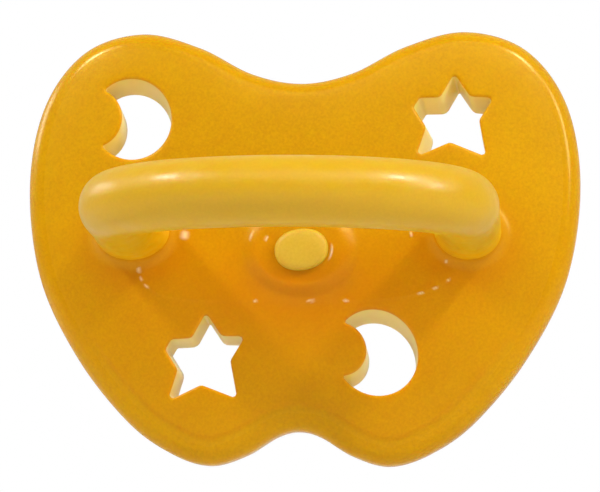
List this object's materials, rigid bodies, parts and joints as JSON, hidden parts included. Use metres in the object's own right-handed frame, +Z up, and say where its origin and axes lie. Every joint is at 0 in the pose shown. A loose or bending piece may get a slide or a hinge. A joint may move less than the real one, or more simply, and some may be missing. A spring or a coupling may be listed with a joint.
{
  "type": "pacifier",
  "caption": "Natural-rubber pacifier with a butterfly shield, star and crescent vents, a ring handle and a hollow flattened teat.",
  "frame": {"origin": "centre of the plug's flat front face, on the teat's axis", "axes": "+X to the right as the handle is seen from the front, +Y through the shield to the teat's tip, +Z up"},
  "size_m": [0.052, 0.0578, 0.0409],
  "materials": {
    "shield_rubber": "satin",
    "root_rubber": "satin",
    "handle_rubber": "satin",
    "plug_rubber": "satin",
    "teat_base_rubber": "satin",
    "teat_neck_rubber": "satin",
    "teat_bulb_rubber": "satin"
  },
  "bodies": {
    "shield_body": {"shield": "shield_rubber", "handle_root_left": "root_rubber", "handle_root_right": "root_rubber", "teat_base": "teat_base_rubber", "teat_plug": "plug_rubber"},
    "handle": {"handle_arch": "handle_rubber"},
    "neck": {"teat_neck": "teat_neck_rubber"},
    "bulb": {"teat_bulb": "teat_bulb_rubber"}
  },
  "joints": [
    {"name": "handle_fold", "type": "hinge", "parent": "shield_body", "child": "handle", "pos_m": [0, -0.0009, 0.00175], "axis": [1, 0, 0], "range_deg": [-45, 45], "stiffness_Nm_per_rad": 0.03},
    {"name": "teat_nod", "type": "hinge", "parent": "shield_body", "child": "neck", "pos_m": [0, 0.01, 0], "axis": [1, 0, 0], "range_deg": [-25, 25], "stiffness_Nm_per_rad": 0.03},
    {"name": "teat_sway", "type": "hinge", "parent": "neck", "child": "bulb", "pos_m": [0, 0.016, 0], "axis": [0, 0, 1], "range_deg": [-25, 25], "stiffness_Nm_per_rad": 0.03}
  ]
}
